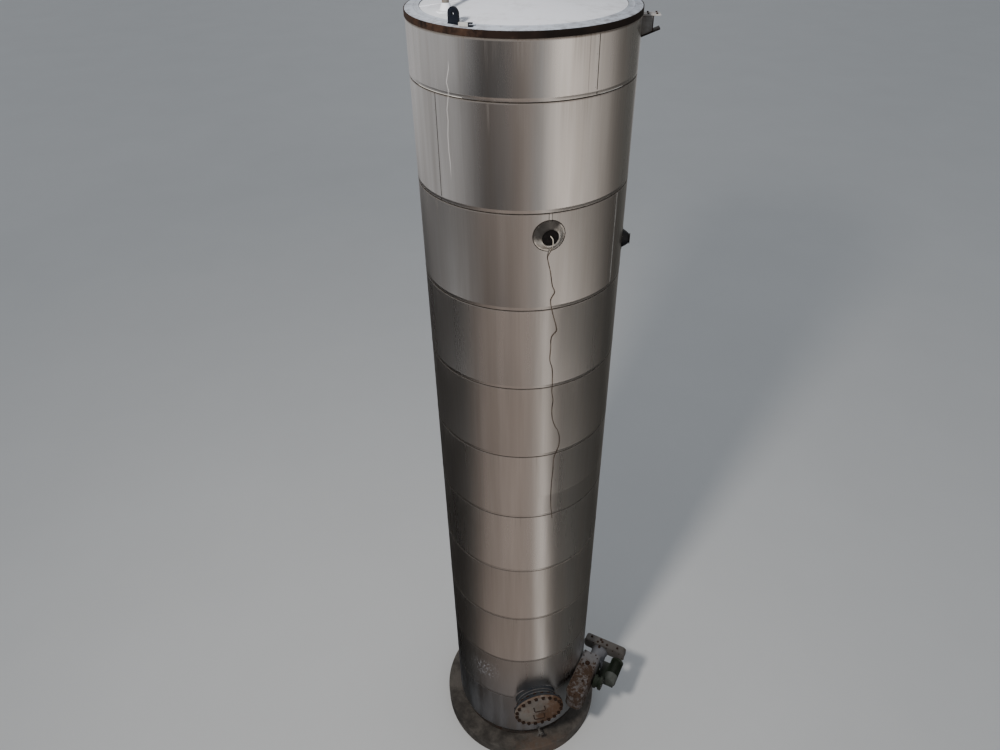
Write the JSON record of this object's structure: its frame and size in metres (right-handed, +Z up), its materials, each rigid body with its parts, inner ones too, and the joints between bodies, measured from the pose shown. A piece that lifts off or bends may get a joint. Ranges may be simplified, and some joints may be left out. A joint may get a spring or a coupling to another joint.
{
  "type": "insulated vertical storage tank",
  "caption": "Tall round storage tank clad in stainless sheet courses, with a low roof, bolted manway, blind stubs and a belt-driven side agitator, standing on a round concrete plinth.",
  "frame": {"origin": "centre of the plinth's underside, on the floor", "axes": "+Z up the tank's axis, -Y towards the front, between the viewer and the manway, +X to the right"},
  "size_m": [2.9524, 2.5604, 11.2913],
  "materials": {
    "cladding": "weathered brushed stainless sheet over insulation, with upright streaks",
    "roof_sheet": "pale weathered sheet, matt",
    "painted_steel": "grey paint, dirty and spotted with rust",
    "dark_trim": "dark brown painted steel with rust",
    "manway_steel": "pale plate stained with orange rust",
    "machine_paint": "off-white paint, flaking over rust",
    "dark_paint": "dark green-black paint",
    "plug_rubber": "matt black",
    "lead_jacket": "dark brown weathered jacket",
    "concrete": "dirty cast concrete with rust stains"
  },
  "bodies": {
    "root": {"plinth": "concrete", "bottom_plate": "painted_steel", "steel_shell": "painted_steel", "cladding_foot_ring": "dark_trim", "cladding_course_01": "cladding", "cladding_course_02": "cladding", "cladding_course_03": "cladding", "cladding_course_04": "cladding", "cladding_course_05": "cladding", "cladding_course_06": "cladding", "cladding_course_07": "cladding", "cladding_course_08": "cladding", "cladding_course_09": "cladding", "cladding_course_10": "cladding", "cladding_course_11": "cladding", "roof_plate": "roof_sheet", "roof_edge_flashing": "roof_sheet", "rim_band": "dark_trim", "lifting_lug": "dark_trim", "lifting_lug_rear": "dark_trim", "roof_cleat": "painted_steel", "roof_pipe": "painted_steel", "roof_pipe_flange": "painted_steel", "bracket_box": "painted_steel", "bracket_seat": "painted_steel", "bracket_foot": "dark_trim", "front_stub": "painted_steel", "front_stub_collar": "cladding", "front_stub_plug": "plug_rubber", "side_stub": "painted_steel", "side_stub_collar": "cladding", "side_stub_cap": "dark_trim", "manway_neck": "manway_steel", "manway_cover": "manway_steel", "manway_handle_upper": "dark_trim", "manway_handle_lower": "dark_trim", "drain_pipe": "painted_steel", "agitator_nozzle": "painted_steel", "agitator_gear_case": "machine_paint", "agitator_bearing_housing": "machine_paint", "agitator_belt_guard": "machine_paint", "agitator_motor": "machine_paint", "agitator_motor_bracket": "dark_paint", "agitator_drum": "dark_paint", "sensor_lead": "lead_jacket"}
  },
  "joints": []
}
